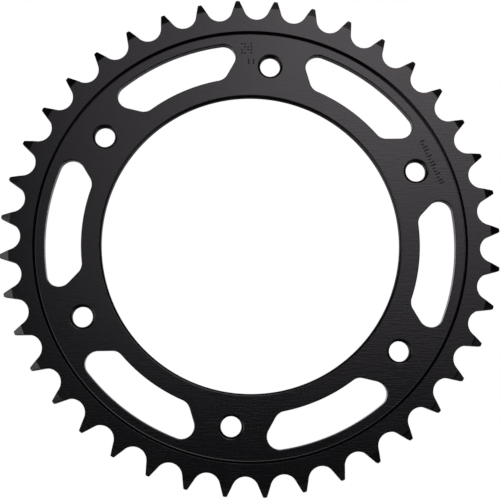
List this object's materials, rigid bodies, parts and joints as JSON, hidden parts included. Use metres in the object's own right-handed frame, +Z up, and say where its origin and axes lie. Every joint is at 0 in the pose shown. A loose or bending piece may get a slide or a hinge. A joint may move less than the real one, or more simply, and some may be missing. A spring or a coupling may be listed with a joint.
{
  "type": "rear sprocket",
  "caption": "Flat steel chain ring with a toothed rim, a stepped outer face, a wide centre bore, bolt holes for the hub and curved lightening slots.",
  "frame": {"origin": "on the wheel axle, midway through the toothed rim: the chain's centre plane", "axes": "+Y along the wheel axle from the outer face towards the hub, +Z up, +X to the right as seen from outside"},
  "size_m": [0.2094, 0.006, 0.2094],
  "materials": {
    "black_coating": "satin black coating with a fine grain over machined steel, a little worn bright on the sharpest edges"
  },
  "bodies": {
    "root": {"rear_sprocket": "black_coating"}
  },
  "joints": []
}
